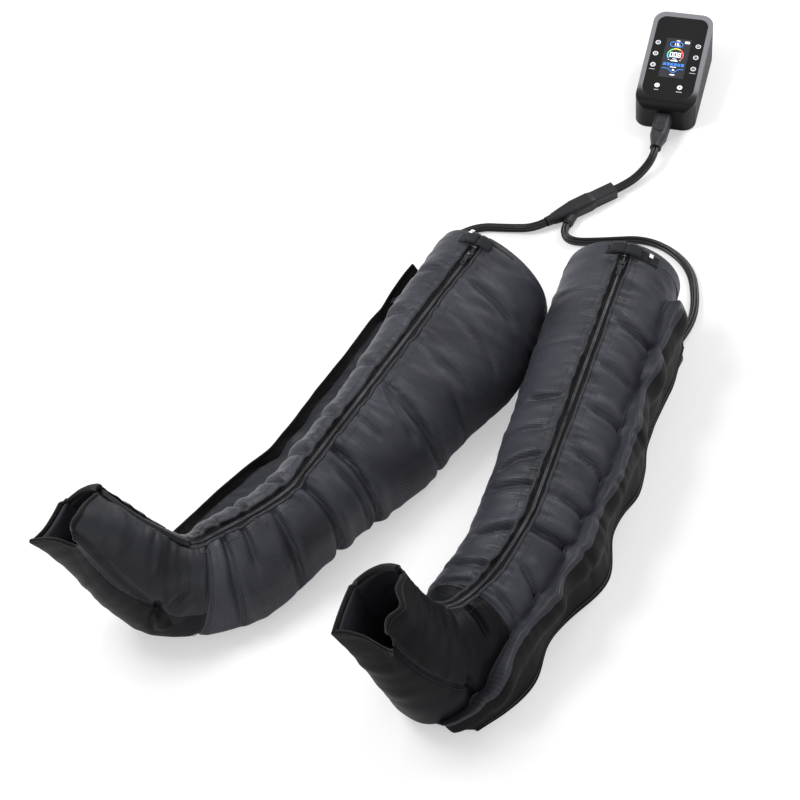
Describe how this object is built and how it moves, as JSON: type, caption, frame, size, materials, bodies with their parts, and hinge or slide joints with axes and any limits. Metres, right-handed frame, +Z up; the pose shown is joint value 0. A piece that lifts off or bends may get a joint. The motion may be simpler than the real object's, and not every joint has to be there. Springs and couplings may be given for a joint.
{
  "type": "compression therapy pump",
  "caption": "Pneumatic leg compression set: wedge-shaped pump with screen and keys, plugged hose with splitter, and two zipped full-length leg sleeves with air chambers, lying on the floor.",
  "frame": {"origin": "on the floor, under the middle of the set's bounding box without its hoses", "axes": "+Z up; +Y from the feet of the sleeves towards the pump, the set's longest extent; +X to the left leg's side"},
  "size_m": [0.8785, 1.798, 0.3097],
  "materials": {
    "bezel": "satin silver paint look",
    "housing": "gloss",
    "panel": "high gloss",
    "lens": "clear, tinted",
    "display": "smooth",
    "key_cap": "smooth",
    "board": "solder mask",
    "motor": "plain",
    "manifold": "plain",
    "battery": "shrink wrap",
    "socket": "matt",
    "jack": "bright",
    "foot": "matt",
    "screw": "plain",
    "tube": "smooth",
    "plug": "satin",
    "plug_nose": "matt",
    "hose": "satin",
    "cover": "fine ripstop weave",
    "lining": "smooth",
    "chamber": "coated cloth",
    "zip": "woven tape with coil teeth",
    "slider": "satin",
    "strap": "woven",
    "ring": "satin"
  },
  "bodies": {
    "sleeves": {"splitter_shell": "plug", "tail_relief": "plug", "outlet_relief": "plug", "right_branch_hose": "hose", "left_branch_hose": "hose", "right_cover": "cover", "right_lining": "lining", "right_thigh_chamber": "chamber", "right_knee_chamber": "chamber", "right_calf_chamber": "chamber", "right_foot_chamber": "chamber", "right_zip": "zip", "right_strap": "strap", "right_strap_ring": "ring", "right_hose_pocket": "cover", "right_hose_socket": "plug", "left_cover": "cover", "left_lining": "lining", "left_thigh_chamber": "chamber", "left_knee_chamber": "chamber", "left_calf_chamber": "chamber", "left_foot_chamber": "chamber", "left_zip": "zip", "left_strap": "strap", "left_strap_ring": "ring", "left_hose_pocket": "cover", "left_hose_socket": "plug"},
    "main_hose_set": {"plug_shell": "plug", "plug_nose": "plug_nose", "main_hose": "hose", "inline_plug": "plug"},
    "pump": {"front_shell": "bezel", "rear_shell": "housing", "front_panel": "panel", "screen_lens": "lens", "display_module": "display", "key_board": "board", "main_board": "board", "air_pump": "motor", "valve_manifold": "manifold", "battery_pack": "battery", "outlet_socket": "socket", "charge_jack": "jack", "rubber_feet": "foot", "shell_screws": "screw", "inner_tubes": "tube"},
    "plug_button": {"plug_button": "plug"},
    "key_left_top": {"key_left_top": "key_cap"},
    "key_left_middle": {"key_left_middle": "key_cap"},
    "key_left_low": {"key_left_low": "key_cap"},
    "key_right_top": {"key_right_top": "key_cap"},
    "key_right_middle": {"key_right_middle": "key_cap"},
    "key_right_low": {"key_right_low": "key_cap"},
    "key_base_left": {"key_base_left": "key_cap"},
    "key_base_right": {"key_base_right": "key_cap"},
    "right_slider": {"right_zip_slider": "slider"},
    "right_pull": {"right_zip_pull": "slider"},
    "left_slider": {"left_zip_slider": "slider"},
    "left_pull": {"left_zip_pull": "slider"}
  },
  "joints": [
    {"name": "inline_release", "type": "slide", "parent": "sleeves", "child": "main_hose_set", "axis": [0.5736, 0.8191, 0], "range_m": [0, 0.014]},
    {"name": "plug_release", "type": "slide", "parent": "main_hose_set", "child": "pump", "axis": [-0.1994, 0.9799, 0], "range_m": [0, 0.02]},
    {"name": "plug_button_press", "type": "slide", "parent": "main_hose_set", "child": "plug_button", "axis": [0, 0, -1], "range_m": [0, 0.0015], "stiffness_N_per_m": 800},
    {"name": "key_left_top_press", "type": "slide", "parent": "pump", "child": "key_left_top", "axis": [-0.0295, 0.1448, -0.989], "range_m": [0, 0.0008], "stiffness_N_per_m": 800},
    {"name": "key_left_middle_press", "type": "slide", "parent": "pump", "child": "key_left_middle", "axis": [-0.0295, 0.1448, -0.989], "range_m": [0, 0.0008], "stiffness_N_per_m": 800},
    {"name": "key_left_low_press", "type": "slide", "parent": "pump", "child": "key_left_low", "axis": [-0.0295, 0.1448, -0.989], "range_m": [0, 0.0008], "stiffness_N_per_m": 800},
    {"name": "key_right_top_press", "type": "slide", "parent": "pump", "child": "key_right_top", "axis": [-0.0295, 0.1448, -0.989], "range_m": [0, 0.0008], "stiffness_N_per_m": 800},
    {"name": "key_right_middle_press", "type": "slide", "parent": "pump", "child": "key_right_middle", "axis": [-0.0295, 0.1448, -0.989], "range_m": [0, 0.0008], "stiffness_N_per_m": 800},
    {"name": "key_right_low_press", "type": "slide", "parent": "pump", "child": "key_right_low", "axis": [-0.0295, 0.1448, -0.989], "range_m": [0, 0.0008], "stiffness_N_per_m": 800},
    {"name": "key_base_left_press", "type": "slide", "parent": "pump", "child": "key_base_left", "axis": [-0.0295, 0.1448, -0.989], "range_m": [0, 0.0008], "stiffness_N_per_m": 800},
    {"name": "key_base_right_press", "type": "slide", "parent": "pump", "child": "key_base_right", "axis": [-0.0295, 0.1448, -0.989], "range_m": [0, 0.0008], "stiffness_N_per_m": 800},
    {"name": "right_zip_slide", "type": "slide", "parent": "sleeves", "child": "right_slider", "axis": [-0.1257, -0.99, -0.0644], "range_m": [0, 0.5]},
    {"name": "right_pull_hinge", "type": "hinge", "parent": "right_slider", "child": "right_pull", "pos_m": [-0.02464, 0.00775, 0.21901], "axis": [-0.992, 0.126, 0], "range_deg": [0, 150]},
    {"name": "left_zip_slide", "type": "slide", "parent": "sleeves", "child": "left_slider", "axis": [0.117, -0.9909, -0.0668], "range_m": [0, 0.5]},
    {"name": "left_pull_hinge", "type": "hinge", "parent": "left_slider", "child": "left_pull", "pos_m": [0.25017, 0.09569, 0.21688], "axis": [-0.9931, -0.1172, 0], "range_deg": [0, 150]}
  ]
}
